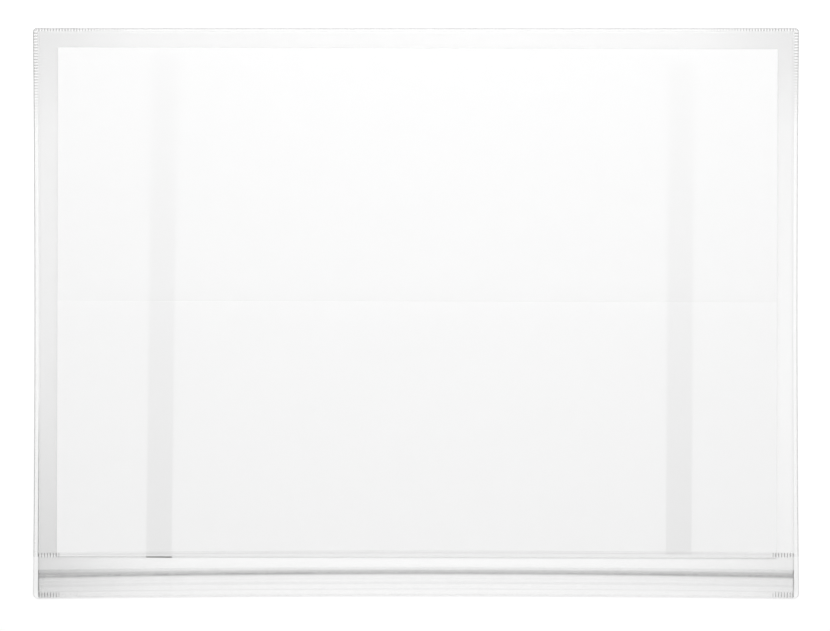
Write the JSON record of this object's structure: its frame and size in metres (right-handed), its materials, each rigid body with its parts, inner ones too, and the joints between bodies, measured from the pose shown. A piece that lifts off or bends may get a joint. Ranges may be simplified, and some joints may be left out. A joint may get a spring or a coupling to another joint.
{
  "type": "document pocket",
  "caption": "Clear flexible pocket for a landscape A3 sheet, welded round its edges, with a closing strip that tucks behind a rail at the mouth and adhesive strips on the back.",
  "frame": {"origin": "middle of the pocket's outline, on the outer faces of the strip liners that it lies on", "axes": "+X along the long side, to the right as the sheet is read; +Y up the page, away from the mouth; +Z out of the face that is read"},
  "size_m": [0.447, 0.333, 0.0019],
  "materials": {
    "back_film": "clear soft PVC film, 0.3 mm, smooth",
    "front_film": "clear soft PVC film, 0.2 mm, low-glare",
    "closing_strip": "clear extruded PVC strip, smooth",
    "base_rail": "clear extruded PVC rail, smooth",
    "insert_sheet": "plain white uncoated paper with one fold",
    "adhesive_strip": "grey double-sided foam tape",
    "release_liner": "smooth siliconised paper"
  },
  "bodies": {
    "root": {"back_film": "back_film", "front_film": "front_film", "closing_strip": "closing_strip", "base_rail": "base_rail", "insert_sheet": "insert_sheet", "adhesive_strip_left": "adhesive_strip", "adhesive_strip_right": "adhesive_strip", "release_liner_left": "release_liner", "release_liner_right": "release_liner"}
  },
  "joints": []
}
